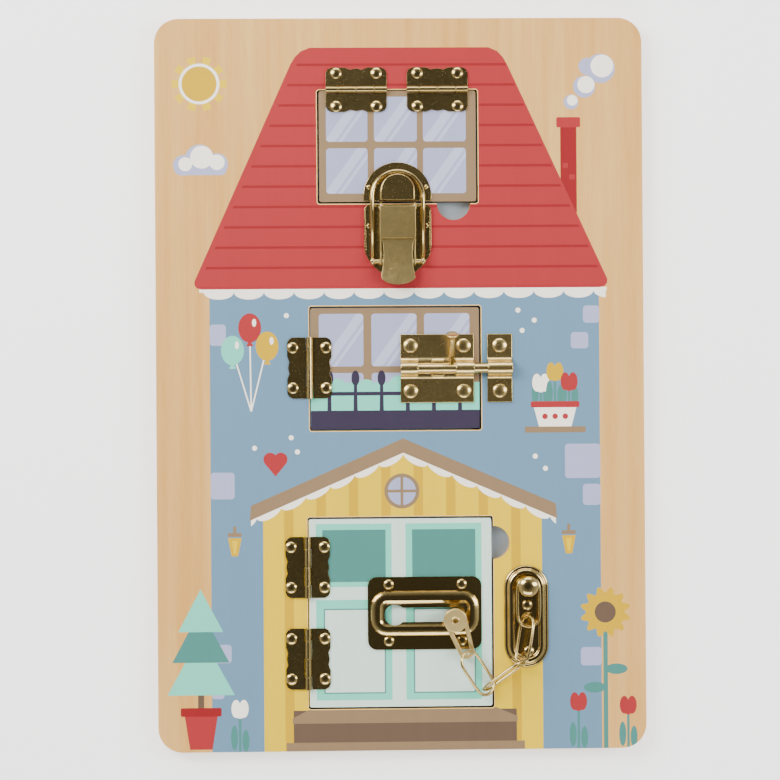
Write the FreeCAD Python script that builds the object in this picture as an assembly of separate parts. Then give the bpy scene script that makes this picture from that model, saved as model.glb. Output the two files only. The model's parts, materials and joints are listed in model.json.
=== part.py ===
"""Wooden busy board: a house-shaped play board with three hinged doors, each held by a real lock.

The board lies on its back. +X is to the right of the house, +Y is up the house and +Z comes out of
the play face. The origin is at the middle of the back face. All sizes are in millimetres.
"""

import math
import os

import FreeCAD, Part

Vec = FreeCAD.Vector
UP = Vec(0, 0, 1)
ALONG_X = Vec(1, 0, 0)

# Board
board_width = 240.0
board_height = 360.0
board_corner = 12.0
back_thickness = 3.0
front_thickness = 6.0
face = back_thickness + front_thickness
panel_gap = 0.9
hinge_gap = 0.5
panel_lift = 0.2
opening_corner = 1.2

# Openings in the front board: left edge, lower edge, width, height
roof_left, roof_low, roof_width, roof_height = -40.3, 88.8, 79.0, 56.0
middle_left, middle_low, middle_width, middle_height = -44.8, -22.8, 84.4, 61.2
door_left, door_low, door_width, door_height = -46.3, -159.4, 91.2, 94.2
notch_radius = 8.2
roof_notch_x = 26.6
door_notch_y = -78.3

# Box hinges
hinge_length = 30.0
hinge_leaf = 10.9
leaf_thickness = 0.7
knuckle_radius = 1.6
knuckle_lift = 0.1
knuckle_gap = 0.15
inner_knuckle = 8.9
pin_radius = 0.75
running_gap = 0.05
leaf_corner = 2.6
scallop_depth = 1.0
scallop_point = 0.4
scallop_half = 5.5
hinge_rivet_along = 9.9
hinge_rivet_across = 8.15
roof_hinge_xs = (-20.9, 19.0)
middle_hinge_y = 8.2
door_hinge_ys = (-89.7, -134.6)

# How finely round forms are cut
knuckle_sides = 12
crown_sides = 10
shank_sides = 5
pin_sides = 10
wire_sides = 8
turned_sides = 18
keyhole_sides = 24
bend_steps = 6
corner_steps = 4

# Rivets and screws
rivet_head = 2.9
rivet_rise = 1.1
rivet_shank = 1.1
rivet_depth = 3.2
big_rivet_head = 3.6
small_rivet_head = 1.15
small_rivet_rise = 0.6
small_rivet_shank = 0.6
screw_head = 2.7
screw_rise = 1.1

# Toggle latch
latch_x = -1.0
latch_sheet = 0.8
latch_pivot_y = 86.4
latch_pivot_rise = 4.0
lever_half = 8.7
lever_wall = 0.9
lever_curl = 2.9
lever_curl_start = 74.0
lever_step_y = 72.0
lever_tongue_rise = 4.3
lever_tip_rise = 5.6
lever_tip_y = 48.7
tongue_waist = 7.0
tongue_waist_y = 64.0
tongue_flare = 8.3
tongue_flare_y = 52.6
flange_clear = 0.3
ear_half = 1.7
ear_inset = 0.3
latch_pin = 0.9
bail_pin_y = 60.3
bail_pin_rise = 3.1
bail_wire = 1.05
bail_half = 12.45
bail_reach_y = 105.5
eye_radius = 2.05
eye_width = 1.5
bail_play = 0.08
base_half = 16.4
base_top_y = 88.3
base_shoulder_y = 67.0
base_low_y = 54.8
base_low_half = 8.4
base_corner = 3.0
rim_width = 0.8
rim_rise = 1.9
rim_end_y = 66.0
base_rivet_x = 14.35
base_rivet_y = 77.8
strike_radius = 16.7
strike_centre_y = 92.4
strike_edge = 0.3
strike_rivet_x = 14.1
strike_rivet_y = 96.8
hook_radius = 8.5
hook_lip = 1.1
hook_low_y = 90.3
hook_high_y = 103.2
hook_rise = 5.1
hook_lip_thickness = 0.9

# Barrel bolt
bolt_left = -0.1
bolt_length = 36.1
bolt_width = 33.6
bolt_y = 7.6
bolt_sheet = 0.9
rod_radius = 2.6
rod_clear = 0.1
rod_lift = 0.4
rod_start = 4.0
rod_end = 50.0
channel_foot = 2.4
window_start = 8.4
window_length = 18.7
tab_start = 15.3
tab_length = 5.9
notch_floor = 1.2
notch_half = 4.9
knob_x = 24.86
knob_shank = 1.2
knob_lean = 30.0
knob_length = 19.1
knob_head = 3.1
knob_flare = 3.4
keeper_left = 42.6
keeper_length = 12.3
bolt_rivet_in = 5.0
bolt_rivet_across = 11.1

# Chain lock, slot side
slot_plate_left = -17.0
slot_plate_low = -130.4
slot_plate_width = 55.9
slot_plate_height = 35.7
slot_plate_corner = 4.4
chain_sheet = 0.9
ring_left = -15.6
ring_low = -123.4
ring_width = 53.2
ring_height = 21.8
ring_corner = 8.0
ring_rise = 3.6
ring_rounding = 1.7
recess_inset = 6.5
recess_slope = 2.0
lip_rise = 2.2
lip_thickness = 0.7
cavity_inset = 2.7
slot_y = -113.2
slot_half = 3.5
keyhole_x = -3.8
keyhole_radius = 5.1
slot_end_x = 29.2
slot_rivet_xs = (-6.7, 29.2)
slot_rivet_ys = (-98.5, -126.2)
slot_rivet_head = 2.6
slot_rivet_rise = 1.0

# Chain lock, slider and flat end link
slider_x = 25.6
slider_y = -114.6
slider_lean = 10.0
slider_neck = 1.9
slider_foot = 4.3
slider_foot_thickness = 0.8
slider_play = 0.12
slider_cap = 5.9
slider_cap_height = 5.5
slider_cap_thickness = 1.0
eyelet_outer = 2.2
eyelet_bore = 1.2
eyelet_rise = 0.5
strap_height = 3.9
strap_width = 1.3
strap_sheet = 2.0
strap_top = 5.7
strap_foot = 3.9
strap_length = 17.0
strap_swing = 19.0

# Chain lock, links and anchor
chain_wire = 0.7
link_length = 26.0
link_width = 12.4
anchor_x = 61.0
anchor_y = -114.6
anchor_width = 21.8
anchor_height = 50.3
anchor_flange = 1.2
anchor_ring_inset = 1.6
anchor_ring_rise = 2.4
anchor_pocket_inset = 5.0
anchor_floor = 1.4
button_x = 61.8
button_y = -99.6
button_post = 3.6
button_head = 5.15
button_head_height = 5.3
button_dome = 2.6
screw_spots = ((61.4, -109.0), (62.0, -131.9))
anchor_link_height = 4.4
link_play = 0.3


def at(x, y, z):
    return Vec(x, y, z)


def box(x0, x1, y0, y1, z0, z1):
    return Part.makeBox(x1 - x0, y1 - y0, z1 - z0, Vec(x0, y0, z0))


def arc(x, y, radius, start, end, steps):
    """Points on an arc from start to end degrees, both ends included."""
    angles = [math.radians(start + (end - start) * i / steps) for i in range(steps + 1)]
    return [(x + radius * math.cos(a), y + radius * math.sin(a)) for a in angles]


def circle(x, y, radius, sides):
    return arc(x, y, radius, 0, 360, sides)[:-1]


def rounded(x0, y0, width, height, corner, steps=corner_steps):
    """The outline of a rectangle with round corners, its lower left corner at x0, y0."""
    x1, y1 = x0 + width, y0 + height
    corner = min(corner, width / 2, height / 2)
    return (
        arc(x1 - corner, y0 + corner, corner, -90, 0, steps)
        + arc(x1 - corner, y1 - corner, corner, 0, 90, steps)
        + arc(x0 + corner, y1 - corner, corner, 90, 180, steps)
        + arc(x0 + corner, y0 + corner, corner, 180, 270, steps)
    )


def tidy(points):
    """The points with repeats dropped, so that every edge has a length."""
    kept = [p for i, p in enumerate(points) if (p - points[i - 1]).Length > 0.0001]
    return kept


def flat(points):
    points = tidy(points)
    return Part.Face(Part.makePolygon(points + points[:1]))


def skin(rings, closed=False):
    """A solid whose wall joins ring to ring; the end rings are capped unless the tube is closed."""
    count = len(rings[0])
    faces = []
    pairs = list(zip(rings, rings[1:] + rings[:1])) if closed else list(zip(rings, rings[1:]))
    for low, high in pairs:
        for i in range(count):
            corners = tidy([low[i - 1], low[i], high[i], high[i - 1]])
            if len(corners) > 2:
                faces.append(flat(corners))
    if not closed:
        faces += [flat(rings[0]), flat(rings[-1])]
    shell = Part.makeShell(faces)
    shell.sewShape()
    solid = Part.Solid(shell)
    if solid.Volume < 0:
        solid.reverse()
    return solid


def stack(levels):
    """A solid from outlines at rising heights, each outline with as many points as the last."""
    return skin([[at(x, y, z) for x, y in outline] for outline, z in levels])


def slab(outline, z0, z1):
    return flat([at(x, y, z0) for x, y in outline]).extrude(at(0, 0, z1 - z0))


def profile(outline, x0, x1):
    """A solid from an outline of y and z points, drawn out along x."""
    return flat([at(x0, y, z) for y, z in outline]).extrude(at(x1 - x0, 0, 0))


def turned(points, sides):
    """A turned solid about z from radius and height points; only its ends may lie on the axis."""
    inner = [p for p in points if p[0] > 0]
    return stack([(circle(0, 0, radius, sides), z) for radius, z in inner])


def aim(shape, start, end):
    """Stand a solid made along z between two points."""
    way = end - start
    shape.Placement = FreeCAD.Placement(start, FreeCAD.Rotation(UP, way))
    return shape


def bar(radius, start, end, sides=pin_sides):
    return aim(turned([(radius, 0), (radius, (end - start).Length)], sides), start, end)


def bore(radius, start, end, sides=pin_sides):
    """A cutter with the same number of sides as the bar that runs in it, clear of the bar all round."""
    return bar(radius / math.cos(math.pi / sides), start, end, sides)


def drill(shape, spots, radius, z0, z1):
    for x, y in spots:
        shape = shape.cut(bar(radius, at(x, y, z0), at(x, y, z1), shank_sides))
    return shape


def rivets(spots, head, rise, seat, shank=rivet_shank):
    """Round-headed rivets as separate solids: each head at height seat, its shank down in the wood."""
    solids = []
    for x, y in spots:
        crown = turned([(head, 0), (head * 0.82, rise * 0.62), (head * 0.4, rise)], crown_sides)
        crown.translate(at(x, y, seat))
        stem = bar(shank, at(x, y, seat - rivet_depth), at(x, y, seat + rise / 2), shank_sides)
        solids.append(crown.fuse(stem).removeSplitter())
    return Part.makeCompound(solids)


def hinge_rivet_spots(side):
    return [(along, side * hinge_rivet_across) for along in (-hinge_rivet_along, hinge_rivet_along)]


def leaf_outline(side):
    """One hinge leaf seen from the front: cut corners, two dips and a point between them."""
    half = hinge_length / 2
    flat_end = half - leaf_corner
    shoulder = hinge_leaf - leaf_corner
    mid = (half - leaf_corner * 0.35, hinge_leaf - leaf_corner * 0.35)
    right = [(half, 0), (half, shoulder), mid, (flat_end, hinge_leaf), (scallop_half, hinge_leaf)]
    dip = [(scallop_half * 0.55, hinge_leaf - scallop_depth), (0, hinge_leaf - scallop_point)]
    half_outline = right + dip
    mirrored = [(-x, y) for x, y in reversed(half_outline[:-1])]
    return [(x, side * y) for x, y in half_outline + mirrored]


def knuckle_stretches(side):
    """The pin stretches that one leaf wraps round: two of the four knuckles."""
    half = hinge_length / 2
    bounds = [-half, -inner_knuckle, 0.0, inner_knuckle, half]
    first = 0 if side > 0 else 1
    return [(bounds[i], bounds[i + 1]) for i in (first, first + 2)]


def hinge_leaf_solid(side, pin_bore):
    """A pressed leaf: side 1 is the fixed leaf above the pin, side -1 the moving one below it."""
    axis = knuckle_radius + knuckle_lift
    leaf = slab(leaf_outline(side), 0, leaf_thickness)
    clear = knuckle_radius + 2 * knuckle_gap
    for start, end in knuckle_stretches(-side):
        leaf = leaf.cut(box(start - knuckle_gap, end + knuckle_gap, -clear, clear, -1, 2 * axis))
    for start, end in knuckle_stretches(side):
        start = start + (knuckle_gap if start > -hinge_length / 2 else 0)
        end = end - (knuckle_gap if end < hinge_length / 2 else 0)
        leaf = leaf.fuse(bar(knuckle_radius, at(start, 0, axis), at(end, 0, axis), knuckle_sides))
    return leaf.cut(pin_bore(at(-hinge_length, 0, axis), at(hinge_length, 0, axis)))


def pin(radius, start, end):
    """A true round pin, the line that a joint turns on."""
    return aim(Part.makeCylinder(radius, (end - start).Length), start, end)


def tight_bore(start, end):
    return bore(pin_radius, start, end)


def running_bore(start, end):
    return bore(pin_radius + running_gap, start, end)


def hinge_set(name, x, y, upright):
    """The two leaves and the pin of one hinge, its pin line over x, y."""
    axis = knuckle_radius + knuckle_lift
    half = hinge_length / 2 + 0.2
    shapes = {
        name + "_fixed_leaf": hinge_leaf_solid(1, tight_bore),
        name + "_moving_leaf": hinge_leaf_solid(-1, running_bore),
        name + "_pin": pin(pin_radius, at(-half, 0, axis), at(half, 0, axis)),
    }
    for key, shape in shapes.items():
        if upright:
            shape.rotate(at(0, 0, 0), UP, 90)
        shape.translate(at(x, y, face))
        parts[key] = shape
    for key, side in (("_fixed_leaf", 1), ("_moving_leaf", -1)):
        spots = hinge_spots(x, y, upright, side)
        parts[name + key] = drill(parts[name + key], spots, rivet_shank, face - 1, face + 1).removeSplitter()


def hinge_spots(x, y, upright, side):
    """Where one side's rivets of a hinge stand on the board."""
    spots = []
    for along, across in hinge_rivet_spots(side):
        spots.append((x - across, y + along) if upright else (x + along, y + across))
    return spots


def smooth_board(x0, y0, width, height, corner, z0, z1):
    """A board with true round corners."""
    board = box(x0, x0 + width, y0, y0 + height, z0, z1)
    uprights = [e for e in board.Edges if abs(e.BoundBox.ZLength - (z1 - z0)) < 0.001]
    return board.makeFillet(corner, uprights)


def opening(left, low, width, height):
    return smooth_board(left, low, width, height, opening_corner, back_thickness - 1, face + 1)


def notch(x, y):
    """A finger notch: half a round hole cut past the edge of an opening."""
    return Part.makeCylinder(notch_radius, front_thickness + 2, at(x, y, back_thickness - 1))


def panel(left, low, width, height):
    return smooth_board(left, low, width, height, opening_corner, back_thickness + panel_lift, face)


parts = {}

# Hinge lines and panel outlines come from the openings
roof_axis_y = roof_low + roof_height
middle_axis_x = middle_left
door_axis_x = door_left
roof_panel_low = roof_low + panel_gap
roof_panel = (
    roof_left + panel_gap,
    roof_panel_low,
    roof_width - 2 * panel_gap,
    roof_height - panel_gap - hinge_gap,
)
middle_panel = (
    middle_left + hinge_gap,
    middle_low + panel_gap,
    middle_width - hinge_gap - panel_gap,
    middle_height - 2 * panel_gap,
)
door_panel = (
    door_left + hinge_gap,
    door_low + panel_gap,
    door_width - hinge_gap - panel_gap,
    door_height - 2 * panel_gap,
)

roof_hinges = [(x, roof_axis_y, False) for x in roof_hinge_xs]
middle_hinges = [(middle_axis_x, middle_hinge_y, True)]
door_hinges = [(door_axis_x, y, True) for y in door_hinge_ys]

base_rivet_spots = [(latch_x + s * base_rivet_x, base_rivet_y) for s in (-1, 1)]
strike_rivet_spots = [(latch_x + s * strike_rivet_x, strike_rivet_y) for s in (-1, 1)]
bolt_rivet_xs = (bolt_left + bolt_rivet_in, bolt_left + bolt_length - bolt_rivet_in)
bolt_rivet_spots = [(x, bolt_y + s * bolt_rivet_across) for x in bolt_rivet_xs for s in (-1, 1)]
keeper_x = keeper_left + keeper_length / 2
keeper_rivet_spots = [(keeper_x, bolt_y + s * bolt_rivet_across) for s in (-1, 1)]
slot_rivet_spots = [(x, y) for x in slot_rivet_xs for y in slot_rivet_ys]


def spots_of(hinges, side):
    return [spot for x, y, upright in hinges for spot in hinge_spots(x, y, upright, side)]


def holed(board, spots, seat, shank=rivet_shank):
    """A board with a blind hole for each rivet whose head sits at height seat above the face."""
    return drill(board, spots, shank, face + seat - rivet_depth, face + 1)


def wooden_boards():
    """The back sheet, the front board with its openings and the three hinged panels."""
    half = board_width / 2
    low = -board_height / 2
    size = (-half, low, board_width, board_height, board_corner)
    parts["back_panel"] = smooth_board(*size, 0, back_thickness)
    front = smooth_board(*size, back_thickness, face)
    front = front.cut(opening(roof_left, roof_low, roof_width, roof_height))
    front = front.cut(opening(middle_left, middle_low, middle_width, middle_height))
    front = front.cut(opening(door_left, door_low, door_width, door_height))
    front = front.cut(notch(roof_notch_x, roof_low))
    front = front.cut(notch(door_left + door_width, door_notch_y))
    front = holed(front, spots_of(roof_hinges + middle_hinges + door_hinges, 1), leaf_thickness)
    front = holed(front, keeper_rivet_spots, bolt_sheet)
    front = holed(front, base_rivet_spots, latch_sheet, small_rivet_shank)
    parts["front_board"] = holed(front, screw_spots, anchor_floor)
    window = holed(panel(*roof_panel), spots_of(roof_hinges, -1), leaf_thickness)
    parts["roof_window_panel"] = holed(window, strike_rivet_spots, latch_sheet, small_rivet_shank)
    window = holed(panel(*middle_panel), spots_of(middle_hinges, -1), leaf_thickness)
    parts["middle_window_panel"] = holed(window, bolt_rivet_spots, bolt_sheet)
    door = holed(panel(*door_panel), spots_of(door_hinges, -1), leaf_thickness)
    parts["door_panel"] = holed(door, slot_rivet_spots, chain_sheet)


def all_hinges():
    for side, place in zip(("left", "right"), roof_hinges):
        hinge_set("roof_hinge_" + side, *place)
    hinge_set("middle_hinge", *middle_hinges[0])
    for height, place in zip(("upper", "lower"), door_hinges):
        hinge_set("door_hinge_" + height, *place)
    seat = face + leaf_thickness
    for name, hinges, panel_word in (
        ("roof_hinge", roof_hinges, "window"),
        ("middle_hinge", middle_hinges, "window"),
        ("door_hinge", door_hinges, "door"),
    ):
        parts[name + "_frame_rivets"] = rivets(spots_of(hinges, 1), rivet_head, rivet_rise, seat)
        parts[f"{name}_{panel_word}_rivets"] = rivets(spots_of(hinges, -1), rivet_head, rivet_rise, seat)


def mirrored(right_half):
    """A full outline from its right half, which runs from the foot on the middle line to the top."""
    return right_half + [(-x, y) for x, y in reversed(right_half)]


def base_outline(inset):
    """The shield: square shoulders at the top, sides that draw in to a narrow foot."""
    half, top, low = base_half - inset, base_top_y - inset, base_low_y + inset
    foot = base_low_half - inset / 2
    corner = base_corner - inset / 2
    drop = base_shoulder_y - low
    sweep = [(foot + (half - foot) * math.sin(t * math.pi / 8) ** 0.9, low + drop * t / 4) for t in range(5)]
    return mirrored(sweep + arc(half - corner, top - corner, corner, 0, 90, corner_steps))


def lever_axle(make, radius, reach):
    return make(radius, at(-reach, latch_pivot_y, latch_pivot_rise), at(reach, latch_pivot_y, latch_pivot_rise))


def bail_axle(make, radius, reach):
    return make(radius, at(-reach, bail_pin_y, bail_pin_rise), at(reach, bail_pin_y, bail_pin_rise))


def latch_base():
    """The base plate: a shield with a raised rim and two ears for the lever's pivot."""
    plate = slab(base_outline(0), 0, latch_sheet)
    rim = slab(base_outline(0), 0, rim_rise).cut(slab(base_outline(rim_width), -1, rim_rise + 1))
    inner = lever_half + rim_width
    rim = rim.cut(box(-2 * base_half, 2 * base_half, 0, rim_end_y, latch_sheet, rim_rise + 1))
    rim = rim.cut(box(-inner, inner, 0, 2 * base_top_y, latch_sheet, rim_rise + 1))
    plate = plate.fuse(rim)
    ear_out = lever_half - lever_wall - ear_inset
    crown = arc(latch_pivot_y, latch_pivot_rise, ear_half, 0, 180, 8)
    foot = [(latch_pivot_y - ear_half, 0), (latch_pivot_y + ear_half, 0)]
    for sign in (-1, 1):
        low, high = sorted((sign * ear_out, sign * (ear_out - lever_wall)))
        plate = plate.fuse(profile(crown + foot, low, high))
    plate = plate.cut(lever_axle(bore, latch_pin, lever_half))
    spots = [(s * base_rivet_x, base_rivet_y) for s in (-1, 1)]
    return drill(plate, spots, small_rivet_shank, -1, 2).removeSplitter()


def lever_tongue():
    """The duck bill: waisted in plan, rounded at its end and turned up to the finger."""
    root_y = lever_step_y + lever_wall
    waist = [
        (tongue_flare, tongue_flare_y),
        (tongue_waist + 0.35, (tongue_flare_y + tongue_waist_y) / 2),
        (tongue_waist, tongue_waist_y),
        (tongue_waist + 0.3, (tongue_waist_y + root_y) / 2),
        (lever_half, root_y),
    ]
    drop = tongue_flare_y - lever_tip_y
    bill = [(tongue_flare * math.sin(t * math.pi / 10), tongue_flare_y - drop * math.cos(t * math.pi / 10)) for t in range(5)]
    plan = slab(mirrored(bill + waist), 0, 2 * lever_tip_rise)
    rise = lever_tip_rise - lever_tongue_rise
    length = root_y - lever_tip_y
    under = [(root_y - length * t / 5, lever_tongue_rise + rise * (t / 5) ** 3) for t in range(6)]
    over = [(y, z + lever_wall) for y, z in reversed(under)]
    return plan.common(profile(under + over, -2 * lever_half, 2 * lever_half))


def latch_lever():
    """The lever: a pressed channel with a curled top end, a step and a duck-bill tongue."""
    top = latch_pivot_rise + lever_curl
    low = latch_sheet + flange_clear
    step = lever_step_y + lever_wall
    curl = arc(latch_pivot_y, latch_pivot_rise, lever_curl, 90, lever_curl_start, 3)
    inside = arc(latch_pivot_y, latch_pivot_rise, lever_curl - lever_wall, lever_curl_start, 90, 3)
    sheet = [(lever_step_y, top)] + curl + inside
    sheet += [(step, top - lever_wall), (step, lever_tongue_rise), (lever_step_y, lever_tongue_rise)]
    lever = profile(sheet, -lever_half, lever_half)
    bead = lever_wall * 0.9
    bead_start = at(-lever_half, lever_step_y, top - bead)
    lever = lever.fuse(bar(bead, bead_start, bead_start + at(2 * lever_half, 0, 0)))
    boss = arc(latch_pivot_y, latch_pivot_rise, lever_curl - 0.2, 55, -120, 7)
    foot = arc(bail_pin_y, low + 1.6, 1.6, -90, -180, 3)
    flange = boss + [(latch_pivot_y - 3, low)] + foot
    flange += [(bail_pin_y - 1.6, lever_tongue_rise), (lever_step_y, lever_tongue_rise), (lever_step_y, top - 0.2)]
    flange += [(latch_pivot_y, top - 0.2)]
    for edge_x in (-lever_half, lever_half - lever_wall):
        lever = lever.fuse(profile(flange, edge_x, edge_x + lever_wall))
    lever = lever.fuse(lever_tongue())
    lever = lever.cut(lever_axle(bore, latch_pin + running_gap, lever_half + 1))
    return lever.cut(bail_axle(bore, latch_pin, lever_half + 1)).removeSplitter()


def bend_sections(centre, radius, wire, start, end, steps):
    """Cross-sections of a wire round a bend in the x, y plane."""
    rings = []
    for i in range(steps + 1):
        angle = math.radians(start + (end - start) * i / steps)
        ring = []
        for x, z in circle(0, 0, wire, wire_sides):
            reach = radius + x
            ring.append(centre + at(reach * math.cos(angle), reach * math.sin(angle), z))
        rings.append(ring)
    return rings


def bail():
    """The wire bail: two legs, a round arch over the hook and a flattened eye at each foot."""
    bend_y = bail_reach_y - bail_half - bail_wire
    z = bail_pin_rise
    rings = bend_sections(at(0, bend_y, z), bail_half, bail_wire, 0, 180, 2 * bend_steps)
    drop = at(0, bail_pin_y + eye_radius / 2 - bend_y, 0)
    rings = [[p + drop for p in rings[0]]] + rings + [[p + drop for p in rings[-1]]]
    shape = skin(rings)
    for s in (-1, 1):
        low, high = sorted((s * bail_half - eye_width / 2, s * bail_half + eye_width / 2))
        shape = shape.fuse(bar(eye_radius, at(low, bail_pin_y, z), at(high, bail_pin_y, z), knuckle_sides))
    return shape.cut(bail_axle(bore, latch_pin + bail_play, bail_half + 3)).removeSplitter()


def hook_outline(radius, high):
    shoulder = high - radius
    return [(-radius, hook_low_y), (radius, hook_low_y)] + arc(0, shoulder, radius, 0, 180, 12)


def strike_plate():
    """The half-round strike with a D-shaped hook whose lip overhangs its neck."""
    low = roof_panel_low + strike_edge
    dip = math.degrees(math.asin((strike_centre_y - low) / strike_radius))
    plate = slab(arc(0, strike_centre_y, strike_radius, -dip, 180 + dip, 24), 0, latch_sheet)
    neck = slab(hook_outline(hook_radius - hook_lip, hook_high_y - hook_lip), 0, hook_rise - 0.2)
    under = hook_rise - hook_lip_thickness
    rounding = hook_lip_thickness / 2
    lip = stack([
        (hook_outline(hook_radius, hook_high_y), under),
        (hook_outline(hook_radius, hook_high_y), hook_rise - rounding),
        (hook_outline(hook_radius - rounding, hook_high_y - rounding), hook_rise),
    ])
    spots = [(s * strike_rivet_x, strike_rivet_y) for s in (-1, 1)]
    return drill(plate.fuse(neck).fuse(lip), spots, small_rivet_shank, -1, 2).removeSplitter()


def toggle_latch():
    """Every piece of the latch, laid out about x = 0 on the face and then moved to its place."""
    pieces = {
        "latch_base": latch_base(),
        "latch_lever": latch_lever(),
        "lever_pivot_pin": lever_axle(pin, latch_pin, lever_half + 0.5),
        "bail_pin": bail_axle(pin, latch_pin, bail_half + eye_width / 2 + 0.3),
        "latch_bail": bail(),
        "strike_plate": strike_plate(),
    }
    for name, shape in pieces.items():
        shape.translate(at(latch_x, 0, face))
        parts[name] = shape
    small = (small_rivet_head, small_rivet_rise, face + latch_sheet, small_rivet_shank)
    parts["latch_base_rivets"] = rivets(base_rivet_spots, *small)
    parts["strike_rivets"] = rivets(strike_rivet_spots, *small)


def channel(x0, length):
    """A sheet strap pressed into a half-round channel over the rod, with a flat foot on each side."""
    inner = rod_radius + rod_clear
    outer = inner + bolt_sheet
    z_axis = rod_lift + rod_radius
    bend = min(channel_foot, z_axis - bolt_sheet)
    toe = outer + bend
    crown = arc(0, z_axis, outer, 180, 0, 12)
    right = crown + arc(toe, bolt_sheet + bend, bend, 180, 270, 4)
    right += [(bolt_width / 2, bolt_sheet), (bolt_width / 2, 0), (inner / math.cos(math.pi / 24), 0)]
    inside = arc(0, z_axis, inner / math.cos(math.pi / 24), 0, 180, 12)
    left = [(-inner / math.cos(math.pi / 24), 0), (-bolt_width / 2, 0), (-bolt_width / 2, bolt_sheet)]
    left += arc(-toe, bolt_sheet + bend, bend, 270, 360, 4)
    strap = profile(right + inside + left, x0, x0 + length)
    strap.translate(at(0, bolt_y, face))
    return strap


def bolt_plate():
    """The bolt's body: the channel with its knob window, notched at both ends of the throw."""
    plate = channel(bolt_left, bolt_length)
    axis = face + rod_lift + rod_radius
    top = axis + 2 * rod_radius
    end = window_start + window_length
    plate = plate.cut(box(window_start, end, bolt_y - notch_half, bolt_y + notch_half, axis, top))
    for start, stop in ((window_start, tab_start), (tab_start + tab_length, end)):
        low, high = bolt_y - notch_half, bolt_y + notch_half
        plate = plate.cut(box(start, stop, low, high, face + notch_floor, top))
    return drill(plate, bolt_rivet_spots, rivet_shank, face - 1, face + 2)


def bolt_rod():
    """The sliding rod, chamfered at its nose so that it finds the keeper."""
    nose = 0.8
    length = rod_end - rod_start
    points = [(rod_radius - nose / 2, 0), (rod_radius, nose / 2), (rod_radius, length - nose), (rod_radius - nose, length)]
    axis = face + rod_lift + rod_radius
    return aim(turned(points, turned_sides), at(rod_start, bolt_y, axis), at(rod_end, bolt_y, axis))


def bolt_knob():
    """The knob: a slim stem flaring to a trumpet head, its foot hollowed to sit on the rod."""
    neck_end = knob_length - knob_flare
    trumpet = [
        (knob_shank + (knob_head - knob_shank) * (t / 5) ** 2.2, neck_end + (knob_flare - 0.7) * t / 5) for t in range(6)
    ]
    points = [(knob_shank, 0)] + trumpet + [(knob_head, knob_length - 0.3), (knob_head - 0.6, knob_length)]
    stem = turned(points, knuckle_sides)
    stem = stem.cut(bore(rod_radius + running_gap, at(-9, 0, 0), at(9, 0, 0), turned_sides))
    stem.rotate(at(0, 0, 0), ALONG_X, knob_lean - 90)
    stem.translate(at(knob_x, bolt_y, face + rod_lift + rod_radius))
    return stem


def barrel_bolt():
    parts["bolt_plate"] = bolt_plate()
    parts["bolt_rod"] = bolt_rod()
    parts["bolt_knob"] = bolt_knob()
    keeper = channel(keeper_left, keeper_length)
    parts["bolt_keeper"] = drill(keeper, keeper_rivet_spots, rivet_shank, face - 1, face + 2)
    seat = face + bolt_sheet
    parts["bolt_rivets"] = rivets(bolt_rivet_spots, big_rivet_head, rivet_rise, seat)
    parts["keeper_rivets"] = rivets(keeper_rivet_spots, big_rivet_head, rivet_rise, seat)


def ring_outline(inset):
    """The raised ring's outline, drawn in by inset."""
    return rounded(
        ring_left + inset,
        ring_low + inset,
        ring_width - 2 * inset,
        ring_height - 2 * inset,
        max(ring_corner - inset, 1.0),
    )


def slot_plate():
    """The pressed slot plate: a raised rounded ring round a sunk lip with the keyhole slot."""
    size = (slot_plate_left, slot_plate_low, slot_plate_width, slot_plate_height, slot_plate_corner)
    plate = slab(rounded(*size), 0, chain_sheet)
    shoulder = ring_rise - ring_rounding
    ring = stack([
        (ring_outline(0), 0),
        (ring_outline(0), shoulder),
        (ring_outline(ring_rounding * 0.25), shoulder + ring_rounding * 0.6),
        (ring_outline(ring_rounding), ring_rise),
    ])
    lip = lip_rise + lip_thickness
    dish = stack([
        (ring_outline(recess_inset), lip),
        (ring_outline(recess_inset - recess_slope * 0.6), lip + (ring_rise - lip) * 0.45),
        (ring_outline(recess_inset - recess_slope), ring_rise + 0.01),
    ])
    plate = plate.fuse(ring.cut(dish))
    plate = plate.cut(slab(ring_outline(cavity_inset), -1, lip_rise))
    top = ring_rise + 1
    plate = plate.cut(slab(circle(keyhole_x, slot_y, keyhole_radius, keyhole_sides), -1, top))
    end = slot_end_x - slot_half
    run = arc(end, slot_y, slot_half, -90, 90, 10) + [(keyhole_x, slot_y + slot_half), (keyhole_x, slot_y - slot_half)]
    plate = plate.cut(slab(run, -1, top))
    return place_on_face(drill(plate, slot_rivet_spots, rivet_shank, -1, 2).removeSplitter())


def place_on_face(shape):
    shape.translate(at(0, 0, face))
    return shape


def slider_centre():
    return at(slider_x, slider_y, face + lip_rise + lip_thickness / 2)


def chain_slider():
    """The slider: a foot behind the slot's lip, a neck through it and a capped eyelet in front."""
    tilt_room = slider_foot * math.sin(math.radians(slider_lean))
    foot = -lip_thickness / 2 - tilt_room - slider_play
    cap = slider_cap_height
    top = cap + slider_cap_thickness
    points = [
        (slider_neck, foot - slider_foot_thickness),
        (slider_foot, foot - 0.3),
        (slider_foot, foot),
        (slider_neck, foot),
        (slider_neck, cap),
        (slider_cap, cap),
        (slider_cap, top - 0.3),
        (slider_cap - 0.3, top),
        (eyelet_outer, top),
        (eyelet_outer - 0.3, top + eyelet_rise),
        (eyelet_bore, top + eyelet_rise),
        (eyelet_bore, cap - 1.5),
    ]
    shape = turned(points, turned_sides)
    shape.rotate(at(0, 0, 0), ALONG_X, slider_lean)
    shape.translate(slider_centre())
    return shape


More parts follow.
